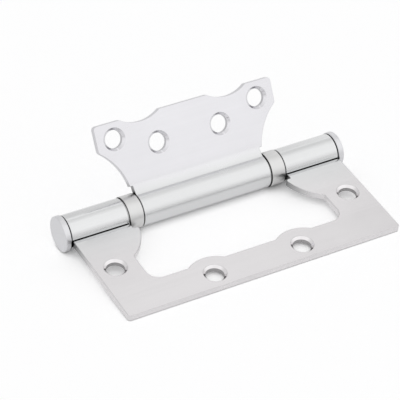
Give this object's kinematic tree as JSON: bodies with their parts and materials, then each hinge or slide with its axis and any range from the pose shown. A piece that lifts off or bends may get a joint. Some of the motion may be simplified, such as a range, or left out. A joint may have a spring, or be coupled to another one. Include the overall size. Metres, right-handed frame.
{
  "type": "non-mortise door hinge",
  "caption": "Non-mortise door hinge: the inner leaf folds flush into a cut-out in the outer leaf, on a rolled barrel with a pin, ball-bearing rings and flat end caps.",
  "frame": {"origin": "on the outer leaf's back face, midway between its outer pair of screw holes", "axes": "+X along the pin, +Y from the outer leaf's free edge towards the pin, +Z out of the outer leaf's countersunk face"},
  "size_m": [0.1046, 0.061, 0.0314],
  "materials": {
    "leaf_steel": "satin",
    "ring_steel": "satin",
    "cap_steel": "satin",
    "pin_steel": "ground",
    "race_steel": "hardened and ground",
    "ball_steel": "polished",
    "cage_brass": "plain"
  },
  "bodies": {
    "outer_leaf": {"outer_leaf": "leaf_steel", "hinge_pin": "pin_steel", "end_cap_left": "cap_steel", "end_cap_right": "cap_steel", "bearing_sleeve_left": "ring_steel", "bearing_sleeve_right": "ring_steel", "outer_race_left": "race_steel", "outer_race_right": "race_steel"},
    "inner_leaf": {"inner_leaf": "leaf_steel", "inner_race_left": "race_steel", "inner_race_right": "race_steel"},
    "left_ball_set": {"ball_cage_left": "cage_brass", "ball_left_1": "ball_steel", "ball_left_2": "ball_steel", "ball_left_3": "ball_steel", "ball_left_4": "ball_steel", "ball_left_5": "ball_steel", "ball_left_6": "ball_steel", "ball_left_7": "ball_steel"},
    "right_ball_set": {"ball_cage_right": "cage_brass", "ball_right_1": "ball_steel", "ball_right_2": "ball_steel", "ball_right_3": "ball_steel", "ball_right_4": "ball_steel", "ball_right_5": "ball_steel", "ball_right_6": "ball_steel", "ball_right_7": "ball_steel"}
  },
  "joints": [
    {"name": "leaf_swing", "type": "hinge", "parent": "outer_leaf", "child": "inner_leaf", "pos_m": [0, 0.02213, 0.0011], "axis": [1, 0, 0], "range_deg": [-146.3, 123.7]},
    {"name": "left_cage_turn", "type": "hinge", "parent": "outer_leaf", "child": "left_ball_set", "pos_m": [0, 0.02213, 0.0011], "axis": [1, 0, 0], "range_deg": [-73.2, 61.9]},
    {"name": "right_cage_turn", "type": "hinge", "parent": "outer_leaf", "child": "right_ball_set", "pos_m": [0, 0.02213, 0.0011], "axis": [1, 0, 0], "range_deg": [-73.2, 61.9]}
  ],
  "couplings": [
    {"joint": "left_cage_turn", "follows": "leaf_swing", "ratio": 0.5},
    {"joint": "right_cage_turn", "follows": "leaf_swing", "ratio": 0.5}
  ]
}
